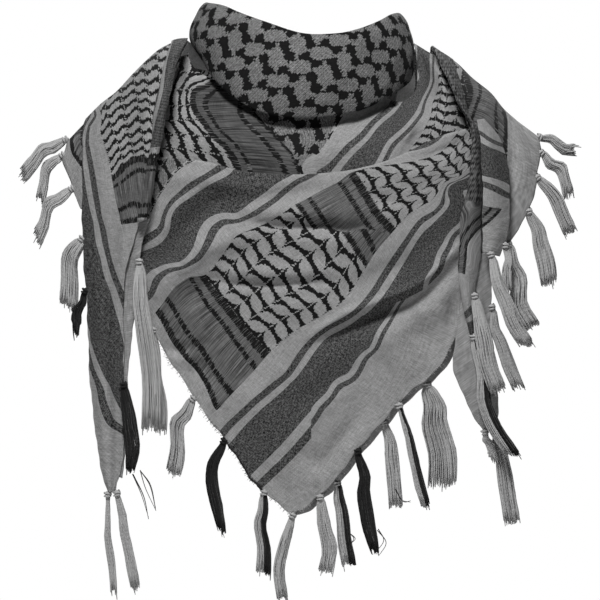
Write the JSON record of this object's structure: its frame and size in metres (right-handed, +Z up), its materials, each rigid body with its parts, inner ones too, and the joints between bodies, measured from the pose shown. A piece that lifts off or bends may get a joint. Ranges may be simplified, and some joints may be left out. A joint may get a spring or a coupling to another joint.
{
  "type": "head wrap",
  "caption": "Square fringed cotton scarf folded corner to corner and worn wound round the neck, with a bib in front and two tails over the shoulders.",
  "frame": {"origin": "middle of the wearer's neck at the foot of the collar", "axes": "+Z up along the neck, the front of the wearer faces -Y, +X is the right side of the picture"},
  "size_m": [0.4935, 0.2504, 0.5227],
  "materials": {
    "cloth_patterned": "matt plain-woven cotton with a dark woven pattern",
    "cloth_light": "matt plain-woven cotton, grey",
    "yarn_grey": "soft unspun-looking cotton yarn ends",
    "yarn_dark": "soft black cotton yarn ends"
  },
  "bodies": {
    "root": {"collar": "cloth_patterned", "throat_drape": "cloth_patterned", "bib": "cloth_patterned", "tail_left_front": "cloth_patterned", "tail_left_pleat": "cloth_patterned", "tail_right_pleat": "cloth_patterned", "tail_right_fold": "cloth_patterned", "nape_left": "cloth_patterned", "nape_right": "cloth_patterned", "bib_under": "cloth_light", "tail_left_back": "cloth_light", "tail_left_fold": "cloth_light", "tail_right_shoulder": "cloth_light", "tail_right_end": "cloth_light", "tassel_left_01": "yarn_grey", "tassel_left_02": "yarn_grey", "tassel_left_03": "yarn_grey", "tassel_left_04": "yarn_grey", "tassel_left_05": "yarn_dark", "tassel_left_06": "yarn_grey", "tassel_left_07": "yarn_grey", "tassel_left_08": "yarn_dark", "tassel_left_09": "yarn_grey", "tassel_left_10": "yarn_grey", "tassel_bib_01": "yarn_grey", "tassel_bib_02": "yarn_dark", "tassel_bib_03": "yarn_grey", "tassel_bib_04": "yarn_grey", "tassel_bib_05": "yarn_grey", "tassel_bib_06": "yarn_grey", "tassel_bib_07": "yarn_dark", "tassel_bib_08": "yarn_grey", "tassel_bib_09": "yarn_grey", "tassel_bib_10": "yarn_grey", "tassel_right_01": "yarn_grey", "tassel_right_02": "yarn_grey", "tassel_right_03": "yarn_grey", "tassel_right_04": "yarn_grey", "tassel_right_05": "yarn_grey", "tassel_right_06": "yarn_grey", "tassel_right_07": "yarn_grey", "tassel_right_08": "yarn_grey", "tassel_right_09": "yarn_grey", "tassel_right_10": "yarn_grey", "tassel_right_11": "yarn_grey", "tassel_right_12": "yarn_grey"}
  },
  "joints": []
}
